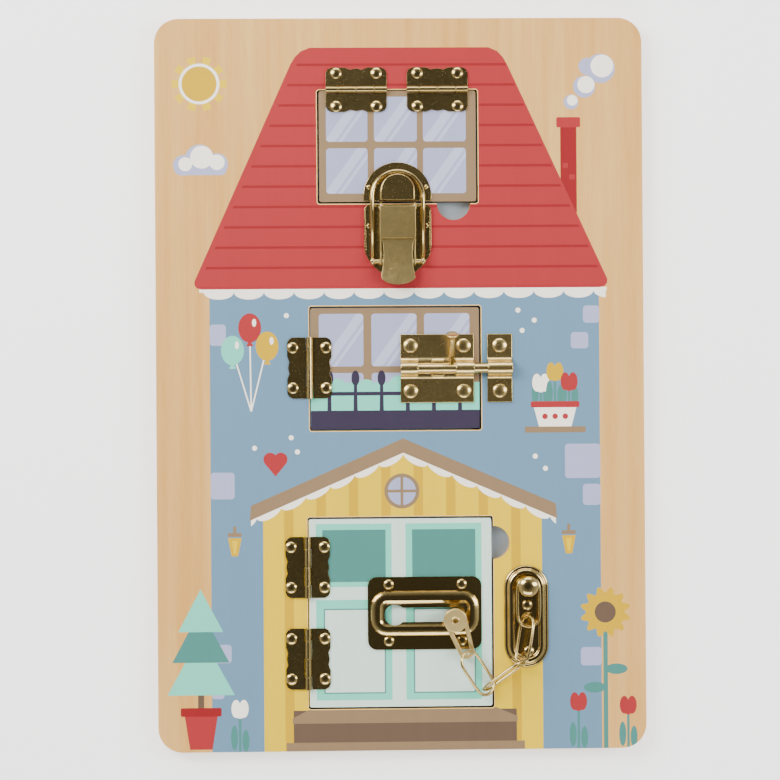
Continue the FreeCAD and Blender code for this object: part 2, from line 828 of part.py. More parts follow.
def strap_outline(grow):
    """A loop wider at its neck end than at its foot, with straight sides drawn tangent to both."""
    top, foot = strap_top + grow, strap_foot + grow
    lean = math.degrees(math.asin((top - foot) / strap_length))
    return arc(0, 0, top, -lean, 180 + lean, 14) + arc(0, -strap_length, foot, 180 + lean, 360 - lean, 10)


def slider_end_link():
    """The flat end link: a stamped loop that hangs from the slider's neck."""
    low = strap_height - strap_width / 2
    high = strap_height + strap_width / 2
    loop = slab(strap_outline(0), low, high).cut(slab(strap_outline(-strap_sheet), low - 1, high + 1))
    loop.rotate(at(0, 0, 0), UP, strap_swing)
    loop.rotate(at(0, 0, 0), ALONG_X, slider_lean)
    loop.translate(slider_centre())
    return loop


def oval_link():
    """A welded oval chain link lying along x, its wire taken round two bends."""
    bend = link_width / 2 - chain_wire
    run = link_length / 2 - link_width / 2
    rings = bend_sections(at(run, 0, 0), bend, chain_wire, -90, 90, bend_steps)
    rings += bend_sections(at(-run, 0, 0), bend, chain_wire, 90, 270, bend_steps)
    return skin(rings, closed=True)


def lay_link(middle, heading, slope, roll):
    """A link laid with its middle at a point, by the heading, slope and roll of its length."""
    shape = oval_link()
    shape.rotate(at(0, 0, 0), ALONG_X, roll)
    shape.rotate(at(0, 0, 0), at(0, 1, 0), -slope)
    shape.rotate(at(0, 0, 0), UP, heading)
    shape.translate(middle)
    return shape


# How each loose link lies above the face: the middle of its length, its heading, slope and roll
link_lie = {
    "chain_link_2": ((59.4, -125.7, 8.15), -100.6, 6.6, 61.2),
    "chain_link_3": ((49.2, -142.9, 7.17), -143.1, -8.9, -70.0),
    "chain_link_4": ((36.34, -141.5, 7.0), 122.8, 11.6, 33.3),
}


def chain():
    """The anchor link round its button and the three loose links, threaded one through the next."""
    top = button_y + button_post + link_play + 2 * chain_wire
    middle = at(button_x, top - link_length / 2, face + anchor_link_height)
    parts["anchor_link"] = lay_link(middle, -90.0, 0.0, 0.0)
    for name, ((x, y, z), heading, slope, roll) in link_lie.items():
        parts[name] = lay_link(at(x, y, face + z), heading, slope, roll)


def anchor_outline(inset):
    return rounded(
        anchor_x - anchor_width / 2 + inset,
        anchor_y - anchor_height / 2 + inset,
        anchor_width - 2 * inset,
        anchor_height - 2 * inset,
        anchor_width / 2 - inset,
        2 * corner_steps,
    )


def anchor():
    """The anchor plate with its raised ring, the button that holds the chain and two screws."""
    plate = stack([
        (anchor_outline(0), 0),
        (anchor_outline(0), anchor_flange * 0.6),
        (anchor_outline(0.5), anchor_flange),
        (anchor_outline(anchor_ring_inset), anchor_flange),
        (anchor_outline(anchor_ring_inset + 0.6), anchor_ring_rise - 0.3),
        (anchor_outline(anchor_ring_inset + 1.3), anchor_ring_rise),
    ])
    pocket = stack([
        (anchor_outline(anchor_pocket_inset), anchor_floor),
        (anchor_outline(anchor_pocket_inset - 0.7), anchor_ring_rise + 0.01),
    ])
    plate = drill(plate.cut(pocket), screw_spots, rivet_shank, -1, 3)
    parts["anchor_plate"] = place_on_face(plate)
    rise = button_head_height
    points = [(button_post, anchor_floor), (button_post, rise)]
    points += [(button_head * math.cos(t * math.pi / 10), rise + button_dome * math.sin(t * math.pi / 10)) for t in range(5)]
    button = turned(points, turned_sides)
    button.translate(at(button_x, button_y, face))
    parts["anchor_button"] = button
    parts["anchor_screws"] = rivets(screw_spots, screw_head, screw_rise, face + anchor_floor)


def chain_lock():
    parts["slot_plate"] = slot_plate()
    seat = face + chain_sheet
    parts["slot_plate_rivets"] = rivets(slot_rivet_spots, slot_rivet_head, slot_rivet_rise, seat)
    parts["chain_slider"] = chain_slider()
    parts["slider_end_link"] = slider_end_link()
    anchor()
    chain()


def main():
    wooden_boards()
    all_hinges()
    toggle_latch()
    barrel_bolt()
    chain_lock()
    os.makedirs("parts", exist_ok=True)
    for name, shape in parts.items():
        shape.exportStep(os.path.join("parts", name + ".step"))


main()
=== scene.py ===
"""Wooden busy board, dressed: printed boards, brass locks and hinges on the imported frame."""

import json
import math

import bmesh
import bpy
from mathutils import Matrix, Vector


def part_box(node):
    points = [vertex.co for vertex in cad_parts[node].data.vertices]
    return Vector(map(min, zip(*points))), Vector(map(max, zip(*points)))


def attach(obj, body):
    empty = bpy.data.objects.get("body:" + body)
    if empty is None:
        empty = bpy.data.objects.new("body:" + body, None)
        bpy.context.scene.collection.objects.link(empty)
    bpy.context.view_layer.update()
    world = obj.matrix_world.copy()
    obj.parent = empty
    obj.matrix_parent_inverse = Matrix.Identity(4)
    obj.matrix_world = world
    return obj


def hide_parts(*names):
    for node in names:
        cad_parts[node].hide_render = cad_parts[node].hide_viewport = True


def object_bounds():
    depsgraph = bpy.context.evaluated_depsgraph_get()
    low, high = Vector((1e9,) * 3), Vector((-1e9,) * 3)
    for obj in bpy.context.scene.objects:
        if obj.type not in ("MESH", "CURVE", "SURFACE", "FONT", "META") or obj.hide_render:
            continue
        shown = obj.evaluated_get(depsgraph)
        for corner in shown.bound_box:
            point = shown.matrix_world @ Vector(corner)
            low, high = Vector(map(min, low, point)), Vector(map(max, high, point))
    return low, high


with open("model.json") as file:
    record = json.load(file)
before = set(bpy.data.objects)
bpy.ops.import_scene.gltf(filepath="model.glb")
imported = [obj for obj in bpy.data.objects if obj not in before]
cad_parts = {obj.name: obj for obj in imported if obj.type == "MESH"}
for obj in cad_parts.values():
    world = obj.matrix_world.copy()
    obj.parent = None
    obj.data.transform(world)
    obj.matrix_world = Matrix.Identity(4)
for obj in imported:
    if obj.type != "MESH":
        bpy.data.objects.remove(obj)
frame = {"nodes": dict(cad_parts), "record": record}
cad_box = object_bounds()

bl_info = {
    "name": "Wooden busy board",
    "version": (1, 0, 0),
    "blender": (4, 5, 0),
    "location": "3D View > Sidebar > Busy board",
    "description": "Dresses the busy board's boards, hinges, locks and chain",
    "category": "Object",
}

MM = 0.001
MERGE = 0.002 * MM
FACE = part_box("front_board")[1][2]
BACK_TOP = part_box("back_panel")[1][2]
BOARDS = ("front_board", "roof_window_panel", "middle_window_panel", "door_panel")
HINGES = ("roof_hinge_left", "roof_hinge_right", "middle_hinge", "door_hinge_upper", "door_hinge_lower")
HINGE_RIVETS = (
    "roof_hinge_frame_rivets",
    "roof_hinge_window_rivets",
    "middle_hinge_frame_rivets",
    "middle_hinge_window_rivets",
    "door_hinge_frame_rivets",
    "door_hinge_door_rivets",
)


def colour_setting(name, description, default):
    return bpy.props.FloatVectorProperty(
        name=name, description=description, subtype="COLOR", size=3, min=0.0, max=1.0, default=default
    )


def length_setting(name, description, millimetres):
    default = millimetres * MM
    return bpy.props.FloatProperty(
        name=name, description=description, default=default, unit="LENGTH", subtype="DISTANCE", precision=5
    )


def srgb(*levels):
    """A colour given on a 0 to 255 scale, as linear light by the usual screen curve."""
    shares = [level / 255 for level in levels]
    return tuple(((share + 0.055) / 1.055) ** 2.4 if share > 0.04 else share / 12.92 for share in shares)


class PrintSettings(bpy.types.PropertyGroup):
    """Inks and wood of the boards."""

    wood: colour_setting("Bare wood", "Pale plywood round the print", srgb(216, 170, 100))
    wood_dark: colour_setting("Wood grain", "Darker streaks in the plywood", srgb(198, 145, 72))
    cut_edge: colour_setting("Cut edge", "Sawn edges and the margin beside them", srgb(230, 187, 112))
    burnt: colour_setting("Burnt edge", "Cut edges round the three openings", srgb(58, 34, 20))
    roof: colour_setting("Roof red", "Main red of the roof", srgb(152, 41, 44))
    roof_dark: colour_setting("Roof lines", "Darker red of the tile lines and chimney", srgb(132, 25, 29))
    wall: colour_setting("Wall blue", "Grey-blue of the house wall", srgb(95, 127, 150))
    brick: colour_setting("Brick", "Pale lilac bricks", srgb(156, 160, 191))
    yellow: colour_setting("Porch yellow", "Pale yellow of the porch", srgb(217, 181, 0))
    yellow_dark: colour_setting("Porch stripe", "Strong yellow stripes", srgb(194, 154, 0))
    tan: colour_setting("Tan", "Frames, gable and treads", srgb(127, 104, 76))
    brown: colour_setting("Brown", "Risers and shadows under treads", srgb(90, 72, 57))
    teal: colour_setting("Teal", "Darker green of the door panels", srgb(64, 120, 112))
    mint: colour_setting("Mint", "Pale green of door and leaves", srgb(102, 198, 172))
    pale: colour_setting("Door pale", "Near-white of the door", srgb(196, 217, 204))
    pane: colour_setting("Pane", "Window panes", srgb(150, 155, 184))
    glare: colour_setting("Glare", "Diagonal light on the panes", srgb(172, 175, 200))
    purple: colour_setting("Purple", "Railing and its base", srgb(47, 39, 58))
    white: colour_setting("White", "Scallops, clouds and petals", srgb(250, 241, 225))
    notch: colour_setting("Notch blue", "Back sheet as the finger notches show it", srgb(150, 165, 178))
    notch_dark: colour_setting("Notch grain", "Darker streaks in that blue", srgb(138, 152, 166))


class HardwareSettings(bpy.types.PropertyGroup):
    """Finish and edge sizes of the brass."""

    # Both brass colours are much darker than bare brass: painted shade that stands in for the dark
    # reflections on the flat faces. The deep colour also marks plating that is thin or worn.
    brass: colour_setting("Brass", "Polished plating", (0.60, 0.46, 0.20))
    brass_deep: colour_setting("Deep brass", "Plating where it is thin or worn", (0.42, 0.31, 0.12))
    brass_bright: colour_setting("Bright brass", "Small rubbed specks", (0.86, 0.72, 0.42))
    edge: length_setting("Edge rounding", "Rounded edge of pressed plates", 0.14)
    rivet_shank: length_setting("Rivet shank", "Depth of a rivet below its head", 3.2)
    crown_sides: bpy.props.IntProperty(
        name="Rivet sides", description="Sides of a rivet head", default=40, min=12
    )


class StageSettings(bpy.types.PropertyGroup):
    """Floor and light."""

    floor: colour_setting("Floor", "Plain pale floor", (0.93, 0.93, 0.93))
    lamp_power: bpy.props.FloatProperty(
        name="Lamp power", description="Watts of the strongest soft box", default=14.0, min=0.0
    )


def set_stops(ramp, stops):
    """Give a new colour ramp, which comes with two stops, its own."""
    for element, (place, colour) in zip(ramp.elements, stops[:2]):
        element.position, element.color = place, (*colour, 1)
    for place, colour in stops[2:]:
        ramp.elements.new(place).color = (*colour, 1)


class Socket:
    """A shader value whose arithmetic adds nodes to its tree."""

    def __init__(self, tree, output):
        self.tree = tree
        self.output = output

    def node(self, kind, settings=None, inputs=None, output=0):
        """Add a node: its settings first, then the values or links of its inputs."""
        node = self.tree.nodes.new(kind)
        for key, value in (settings or {}).items():
            if key == "stops":
                set_stops(node.color_ramp, value)
            else:
                setattr(node, key, value)
        for key, value in (inputs or {}).items():
            socket = node.inputs[key]
            if isinstance(value, Socket):
                self.tree.links.new(value.output, socket)
            else:
                socket.default_value = (*value, 1) if socket.type == "RGBA" and len(value) == 3 else value
        return Socket(self.tree, node.outputs[output])

    def maths(self, operation, *others):
        return self.node("ShaderNodeMath", {"operation": operation}, dict(enumerate((self, *others))))

    def vector(self, operation, *others, output=0):
        inputs = dict(enumerate((self, *others)))
        return self.node("ShaderNodeVectorMath", {"operation": operation}, inputs, output)

    def __add__(self, other):
        return self.maths("ADD", other)

    __radd__ = __add__

    def __sub__(self, other):
        return self.maths("SUBTRACT", other)

    def __rsub__(self, other):
        return (self * -1) + other

    def __mul__(self, other):
        return self.maths("MULTIPLY", other)

    __rmul__ = __mul__

    def __lt__(self, other):
        return self.maths("LESS_THAN", other)

    def __gt__(self, other):
        return self.maths("GREATER_THAN", other)

    def __abs__(self):
        return self.maths("ABSOLUTE")


def paint(under, colour, mask, blend="MIX"):
    """One colour over another where the mask is 1; at least one of the three is a shader value."""
    source = next(value for value in (under, colour, mask) if isinstance(value, Socket))
    settings = {"data_type": "RGBA", "blend_type": blend}
    return source.node("ShaderNodeMix", settings, {0: mask, 6: under, 7: colour}, output=2)


def any_of(*masks):
    """A mask that is 1 wherever one of these is."""
    total = masks[0]
    for mask in masks[1:]:
        total = total.maths("MAXIMUM", mask)
    return total


def distance(along, across):
    """How far a point is from the origin of two measures."""
    return (along * along + across * across).maths("SQRT")


def nearest(along, start, pitch):
    """How far a point is from the nearest of the places that follow start at this pitch."""
    return (along - start).maths("PINGPONG", pitch / 2)


def new_material(name):
    """A material with its surface shader and its Object coordinates in millimetres."""
    material = bpy.data.materials.new(name)
    material.use_nodes = True
    tree = material.node_tree
    coordinates = Socket(tree, tree.nodes.new("ShaderNodeTexCoord").outputs["Object"])
    place = coordinates.vector("SCALE")
    place.output.node.inputs["Scale"].default_value = 1 / MM
    return material, tree.nodes["Principled BSDF"], place


def feed(surface, name, value):
    if isinstance(value, Socket):
        value.tree.links.new(value.output, surface.inputs[name])
    else:
        surface.inputs[name].default_value = (*value, 1) if surface.inputs[name].type == "RGBA" else value


def noise(place, scale, stretch=(1, 1, 1), detail=3, rough=0.5):
    stretched = place.vector("MULTIPLY", stretch)
    values = {"Vector": stretched, "Scale": scale, "Detail": detail, "Roughness": rough}
    return place.node("ShaderNodeTexNoise", None, values)


def spread(value, low=0.0, high=1.0):
    """A value stretched from low and high to 0 and 1, and held there."""
    return value.node("ShaderNodeMapRange", {"clamp": True}, {0: value, 1: low, 2: high})


def bumped(surface, height, depth, strength):
    relief = height.node("ShaderNodeBump", None, {"Strength": strength, "Distance": depth, "Height": height})
    feed(surface, "Normal", relief)


class Print:
    """The print on the play face, built up from shapes on x and y in millimetres."""

    def __init__(self, place):
        parts = place.node("ShaderNodeSeparateXYZ", None, {0: place}).output.node.outputs
        self.x, self.y, self.z = (Socket(place.tree, part) for part in parts)
        self.flat = place.vector("MULTIPLY", (1, 1, 0))

    def reach(self, x, y):
        """How far a point is from this place."""
        return self.flat.vector("DISTANCE", (x, y, 0), output=1)

    def turn(self, x, y):
        """The direction in which a point lies from this place, as an angle."""
        return (self.y - y).maths("ARCTAN2", self.x - x)

    def disc(self, x, y, radius):
        return self.reach(x, y) < radius

    def discs(self, *places):
        return any_of(*(self.disc(*place) for place in places))

    def oval(self, x, y, half_x, half_y):
        offset = self.flat.vector("SUBTRACT", (x, y, 0)).vector("MULTIPLY", (1 / half_x, 1 / half_y, 0))
        return offset.vector("LENGTH", output=1) < 1

    def block(self, x0, x1, y0, y1, corner=0.3):
        """A rectangle with rounded corners."""
        centre = ((x0 + x1) / 2, (y0 + y1) / 2, 0)
        reach = ((x1 - x0) / 2 - corner, (y1 - y0) / 2 - corner, 10)
        offset = self.flat.vector("SUBTRACT", centre).vector("ABSOLUTE").vector("SUBTRACT", reach)
        return offset.vector("MAXIMUM", (0, 0, 0)).vector("LENGTH", output=1) < corner

    def facing(self, x0, y0, x1, y1):
        """Everything to the left of the line from the first point to the second."""
        normal = Vector((y1 - y0, x0 - x1, 0)).normalized()
        return self.flat.vector("DOT_PRODUCT", tuple(normal), output=1) < normal.dot((x0, y0, 0))

    def shape(self, *corners):
        """A convex shape from its corners, taken anticlockwise."""
        mask = self.facing(*corners[-1], *corners[0])
        for start, end in zip(corners, corners[1:]):
            mask = mask * self.facing(*start, *end)
        return mask

    def scallops(self, y, start, pitch, radius, depth, x0, x1):
        """A row of flattened half rounds that hang below y."""
        down = (self.y - y) * (radius / depth)
        rounds = distance(nearest(self.x, start, pitch), down) < radius
        return rounds * self.block(x0, x1, y - 2 * radius, y, 0.1)


def wood_grain(place, settings):
    """Pale plywood: long streaks up the board, soft clouds and fine pores."""
    streak = noise(place, 0.16, (1.0, 0.035, 1.0), 5, 0.6)
    cloud = noise(place, 0.02, (1.0, 0.35, 1.0), 2)
    pores = noise(place, 1.6, (1.0, 0.06, 1.0), 3, 0.7)
    dark = spread(streak * 0.62 + cloud * 0.3 + pores * 0.24, 0.44, 0.72)
    return paint(settings.wood, settings.wood_dark, dark), streak, pores


def lay_sky(ink, base, s):
    """Sun, cloud, chimney and smoke on the bare wood beside the roof."""
    sun = (-98, 148)
    ray_reach, rim_radius, sun_radius = 13.5, 10, 8.6
    ray_count, half_ray = 10, 0.26
    rays = (ink.turn(*sun) * (ray_count / math.tau)).maths("PINGPONG", 0.5) < half_ray
    base = paint(base, s.yellow, rays * ink.disc(*sun, ray_reach))
    base = paint(base, s.white, ink.disc(*sun, rim_radius))
    base = paint(base, s.yellow_dark, ink.disc(*sun, sun_radius))
    cloud = any_of(
        ink.discs((-106, 108, 5.0), (-98, 111, 7.2), (-89.5, 108.5, 5.4)),
        ink.block(-110, -85, 103.2, 108, 2.3),
    )
    cloud_light = ink.discs((-97, 112, 5.6), (-105, 108.6, 3.4), (-89.5, 109.5, 3.8))
    base = paint(base, s.brick, cloud)
    base = paint(base, s.white, cloud_light)
    chimney = ink.block(79.5, 87.5, 84, 128, 0.4)
    chimney_top = ink.block(77.6, 89.4, 126, 131, 0.8)
    loose_bricks = any_of(ink.block(80.6, 83.2, 106, 108.4), ink.block(83.8, 86.6, 100.4, 102.8))
    base = paint(base, s.roof_dark, chimney)
    base = paint(base, s.roof, any_of(loose_bricks, chimney_top))
    smoke = ink.discs((85, 138.5, 3.6), (91.5, 146, 5.4), (99.5, 155, 7.2), (93, 156, 4.2))
    smoke_light = ink.discs((85.6, 139.3, 2.6), (92.4, 147, 4.2), (100.4, 156.2, 5.6))
    base = paint(base, s.brick, smoke)
    return paint(base, s.white, smoke_light)


def lay_roof(ink, base, s):
    """The roof with its tile lines, and the window frame with six panes."""
    right_eave = ((98.6, 47.1), (101.0, 47.8), (102.2, 49.3), (102.3, 51.2))
    right_top = ((53.4, 157.4), (51.3, 160.9), (48.7, 163.7), (44.4, 165.6))
    left_top = ((-43.6, 165.6), (-48.0, 163.9), (-51.0, 161.0), (-53.2, 157.4))
    left_eave = ((-100.9, 51.0), (-100.9, 49.2), (-99.9, 47.7), (-97.6, 47.0))
    roof = ink.shape(*right_eave, *right_top, *left_top, *left_eave)
    tiled = ink.shape((-99.5, 48), (101.8, 48), (50.6, 162), (-48, 162))
    lowest_line, tile, half_line = 57.5, 9.97, 0.62
    lines = nearest(ink.y, lowest_line, tile) < half_line
    window_frame = ink.block(-39.7, 38.2, 89.0, 144.6)
    base = paint(base, s.roof, roof)
    base = paint(base, s.roof_dark, lines * tiled)
    base = paint(base, s.tan, window_frame)
    for x0, x1 in ((-35.9, -15.5), (-12.3, 8.8), (11.8, 32.9)):
        for y0, y1 in ((119.3, 141.4), (93.8, 116.1)):
            base = lay_pane(ink, base, s, x0, x1, y0, y1)
    return base


def lay_pane(ink, base, s, x0, x1, y0, y1):
    """One window pane with a slanting glare: a broad stripe and a narrow one beside it."""
    lean, from_middle, apart = 0.72, 8.5, 5.2
    half_broad, half_narrow = 2.6, 0.9
    pane = ink.block(x0, x1, y0, y1, 1.6)
    base = paint(base, s.pane, pane)
    slant = ink.x - (ink.y - y0) * lean
    broad = (x0 + x1) / 2 - from_middle
    glare = any_of(abs(slant - broad) < half_broad, abs(slant - (broad + apart)) < half_narrow)
    return paint(base, s.glare, glare * pane)


def lay_wall(ink, base, s):
    """The blue wall with its scattered bricks and the white scallops under the eaves."""
    wall = ink.block(-93.6, 98.0, -190, 47.2, 0.1)
    bricks = (
        (-93.6, -85.7, 19.4, 29.8),
        (-93.6, -81.9, -56.0, -42.9),
        (-93.6, -83.9, -136.3, -127.3),
        (-93.6, -87.5, -153.9, -148.0),
        (84.0, 92.6, 17.0, 25.0),
        (90.1, 98.1, 29.6, 38.1),
        (80.7, 98.1, -46.9, -30.0),
        (89.4, 98.1, -60.2, -49.8),
        (87.8, 98.1, -139.2, -130.2),
    )
    eaves = ink.block(-98.6, 101.9, 45.4, 47.2)
    scallops = ink.scallops(y=45.6, start=-89.0, pitch=14.75, radius=7.3, depth=3.6, x0=-96.6, x1=101.4)
    base = paint(base, s.wall, wall)
    base = paint(base, s.brick, any_of(*(ink.block(*brick, 1.6) for brick in bricks)))
    return paint(base, s.white, any_of(eaves, scallops))


def lay_middle_window(ink, base, s):
    """Three panes over a planted railing on a purple base."""
    left, right, foot, top = -44.2, 39.2, -22.6, 38.2
    base = paint(base, s.tan, ink.block(left, right, foot, top))
    for x0, x1 in ((-40.1, -18.2), (-14.3, 8.0), (11.7, 34.0)):
        base = lay_pane(ink, base, s, x0, x1, 8.8, 34.7)
        base = paint(base, s.pane, ink.block(x0, x1, -16, 5.6, 1.6))
    leaves = ink.discs((-31, -1.6, 4.4), (-17, -2.4, 4.8), (-1, -0.6, 4.8), (8, 0.4, 4.6), (22, -1.4, 5))
    base = paint(base, s.mint, any_of(ink.block(left, right, -14, 0.8), leaves))
    first_post, post_pitch = -35.1, 12.84
    head_y, half_head, slimness = 3.0, 1.98, 0.52
    across = nearest(ink.x, first_post, post_pitch)
    half_post = 1.02 - (ink.y + 12) * 0.02
    posts = (across < half_post) * ink.block(-37.6, 32.4, -14, 1, 0.1)
    heads = (distance(across, (ink.y - head_y) * slimness) < half_head) * ink.block(-38, 32, -3, 9, 0.1)
    rail = ink.block(-41.0, 35.0, -5.5, -3.7, 0.1)
    base = paint(base, s.purple, any_of(rail, posts, heads))
    return paint(base, s.purple, ink.block(left, right, foot, -12.9))


def lay_porch(ink, base, s):
    """The striped porch under its tan gable, with a round window high in the middle."""
    slope, ridge_x, ridge_y = 0.4345, 1, -33.8
    lean = math.cos(math.atan(slope))
    out = abs(ink.x - ridge_x)
    above = (ink.y - ridge_y + out * slope) * lean
    front = (above < 0.5) * ink.block(-68.1, 69.0, -190, -30, 0.1)
    base = paint(base, s.yellow, front)
    first_stripe, stripe_pitch, half_stripe = -55.5, 15.95, 2.3
    stripes = nearest(ink.x, first_stripe, stripe_pitch) < half_stripe
    base = paint(base, s.yellow_dark, stripes * front)
    half_scallop, scallop_radius, flatness = 6.55, 6.6, 2.1
    along = nearest(out * (1 / lean), -half_scallop, 2 * half_scallop)
    scallops = (distance(along, above * flatness) < scallop_radius) * (out < 75.0) * (above < 0.5)
    base = paint(base, s.white, scallops)
    board, half_gable = 6.5, 75.6
    gable = (above > 0) * (above < board) * (out + above * 0.1 < half_gable)
    base = paint(base, s.tan, gable)
    window = (0.2, -52.6)
    base = paint(base, s.tan, ink.disc(*window, 8.6))
    base = paint(base, s.pane, ink.disc(*window, 6.9))
    bars = any_of(ink.block(-0.5, 0.9, -60, -45.6, 0.1), ink.block(-7, 7.4, -53.3, -51.9, 0.1))
    return paint(base, s.tan, bars)


def lay_door(ink, base, s):
    """The door's four panels and the steps below it."""
    door = ink.block(-45.6, 44.2, -158.8, -65.8)
    base = paint(base, s.pale, door)
    for x0, x1 in ((-42.3, -5.1), (1.8, 39.1)):
        borders = any_of(ink.block(x0, x1, -99.5, -68.5), ink.block(x0, x1, -155.1, -105.9))
        base = paint(base, s.mint, borders)
        base = paint(base, s.teal, ink.block(x0 + 3.2, x1 - 2.9, -97.1, -71.5))
        base = paint(base, s.teal, ink.block(x0 + 3.7, x1 - 3.1, -151.9, -110.2))
        base = paint(base, s.pale, ink.block(x0 + 4.3, x1 - 3.7, -151.3, -110.8))
    risers = ink.block(-53.7, 56.0, -178, -160)
    upper_front = ((-54.2, -163.8), (-54.2, -166.4), (56.4, -166.4), (56.4, -163.8))
    upper_back = ((45.8, -159.2), (-45.2, -159.2))
    upper_tread = ink.shape(*upper_front, *upper_back)
    lower_tread = ink.block(-57.2, 59.9, -190, -175.8)
    base = paint(base, s.brown, risers)
    return paint(base, s.tan, any_of(upper_tread, lower_tread))


def lay_tulip(ink, base, s, colour, x, y, foot):
    """A tulip: stem, two leaves and a cup of three petals."""
    stem = ink.block(x - 0.6, x + 0.6, foot, y, 0.1)
    leaves = any_of(ink.oval(x - 2.8, foot + 8, 1.7, 6), ink.oval(x + 2.8, foot + 6.5, 1.7, 5.4))
    base = paint(base, s.teal, any_of(stem, leaves))
    outer = any_of(*(ink.oval(x + side * 1.9, y + 1.2, 2.3, 4.4) for side in (-1, 1)))
    return paint(base, colour, any_of(outer, ink.oval(x, y, 2.6, 3.6)))


def lay_fir(ink, base, s):
    """A fir of three tiers in a red pot."""
    middle = -99
    tiers = ((-122, 16.5, -152, s.mint), (-110, 14, -136, s.teal), (-100, 11, -121, s.mint))
    base = paint(base, s.brown, ink.block(middle - 1.5, middle + 1.5, -160, -150, 0.1))
    for top, half, low, colour in tiers:
        base = paint(base, colour, ink.shape((middle, top), (middle - half, low), (middle + half, low)))
    pot = ink.shape((-104.5, -178.6), (-93.5, -178.6), (-90.6, -160), (-107.4, -160))
    base = paint(base, s.roof, pot)
    return paint(base, s.roof_dark, ink.block(-109, -89, -162.4, -158.2, 0.8))


def lay_sunflower(ink, base, s):
    """A sunflower with a wavy rim of petals, on a stem with two leaves."""
    x, y = 100, -113
    petals, wave = 12, 1.5
    stem = ink.block(x - 1.1, x + 1.1, -190, -118, 0.1)
    leaves = any_of(ink.oval(94.6, -150, 5.4, 2.6), ink.oval(105.4, -141, 5.4, 2.6))
    base = paint(base, s.teal, any_of(stem, leaves))
    rim = ink.reach(x, y) + (ink.turn(x, y) * petals).maths("COSINE") * wave
    base = paint(base, s.yellow_dark, rim < 11)
    return paint(base, s.brown, ink.disc(x, y, 5.2))


def lay_balloons(ink, base, s):
    """Three balloons whose strings meet below them."""
    knot_x, knot_y = -73.5, -13
    for x, y, colour in ((-74, 28, s.roof), (-65.5, 19, s.yellow_dark), (-82.5, 17, s.mint)):
        lean = (ink.y - y) * ((x - knot_x) / (y - knot_y))
        string = (abs(ink.x - x - lean) < 0.35) * ink.block(-90, -56, knot_y, y, 0.1)
        neck = ink.shape((x, y - 5.6), (x - 1.8, y - 9), (x + 1.8, y - 9))
        base = paint(base, s.white, string)
        base = paint(base, colour, any_of(ink.oval(x, y, 5.6, 7.2), neck))
        base = paint(base, s.white, ink.oval(x + 2.2, y + 2.6, 1.0, 1.9))
    return base


def lay_planter(ink, base, s):
    """Three tulips in a white planter on a shelf."""
    base = paint(base, s.tan, ink.block(61, 91, -24.4, -21.4))
    for x, y, colour in ((69, -1, s.white), (76, 4.5, s.yellow_dark), (83, -0.4, s.roof)):
        base = lay_tulip(ink, base, s, colour, x, y, -13)
    base = paint(base, s.white, ink.shape((68, -21.4), (84, -21.4), (87, -10), (65, -10)))
    spots = ink.discs(*((x, -16.4, 1.4) for x in (71, 76, 81)))
    return paint(base, s.roof, any_of(ink.block(64, 88, -12, -9, 0.8), spots))


def lay_lamps(ink, base, s):
    """A lamp on the wall at each side of the porch."""
    for x in (-82.0, 82.3):
        cap = any_of(ink.block(x - 3.4, x + 3.4, -74.4, -72.6), ink.block(x - 0.8, x + 0.8, -73, -69.4, 0.1))
        shade = ink.shape((x - 1.6, -84), (x + 1.6, -84), (x + 3.4, -75), (x - 3.4, -75))
        glow = ink.shape((x - 0.6, -82.6), (x + 0.6, -82.6), (x + 1.4, -76.4), (x - 1.4, -76.4))
        base = paint(base, s.tan, cap)
        base = paint(base, s.yellow_dark, shade)
        base = paint(base, s.yellow, glow)
    return base


def lay_heart_and_dots(ink, base, s):
    """A heart and scattered white dots on the wall."""
    point = ink.shape((-61.8, -45), (-56.3, -38.4), (-61.8, -35), (-67.3, -38.4))
    base = paint(base, s.roof, any_of(ink.discs((-64.4, -36.6, 3.3), (-59.2, -36.6, 3.3)), point))
    dots = ((-72, -31), (-51, -33), (-54, -26), (66, -36), (71, -42), (60, 26), (66, 31), (-56, 34), (58, 36))
    return paint(base, s.white, ink.discs(*((x, y, 1.25) for x, y in dots)))


def lay_garden(ink, base, s):
    """The plants beside the house, and what hangs on its wall."""
    base = lay_fir(ink, base, s)
    base = lay_sunflower(ink, base, s)
    for x, y, colour in ((86.5, -158, s.roof), (111, -160, s.roof), (-80, -160, s.white)):
        base = lay_tulip(ink, base, s, colour, x, y, -181)
    for lay in (lay_balloons, lay_planter, lay_lamps, lay_heart_and_dots):
        base = lay(ink, base, s)
    return base


def openings():
    """The three openings in the play face, each a hinged panel's box and the gap round it."""
    gap, hinge_gap = 0.9, 0.5
    found = []
    for panel, left, top in (
        ("roof_window_panel", gap, hinge_gap),
        ("middle_window_panel", hinge_gap, gap),
        ("door_panel", hinge_gap, gap),
    ):
        low, high = (Vector(corner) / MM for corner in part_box(panel))
        found.append((low.x - left, high.x + gap, low.y - gap, high.y + top))
    return found


def round_openings(ink, outside, inside):
    """A band along the edge of each opening, from so far outside it to so far inside it."""
    bands = []
    for x0, x1, y0, y1 in openings():
        outer, inner = (
            ink.block(x0 - out, x1 + out, y0 - out, y1 + out, corner) for out, corner in (outside, inside)
        )
        bands.append(outer - inner)
    return any_of(*bands)


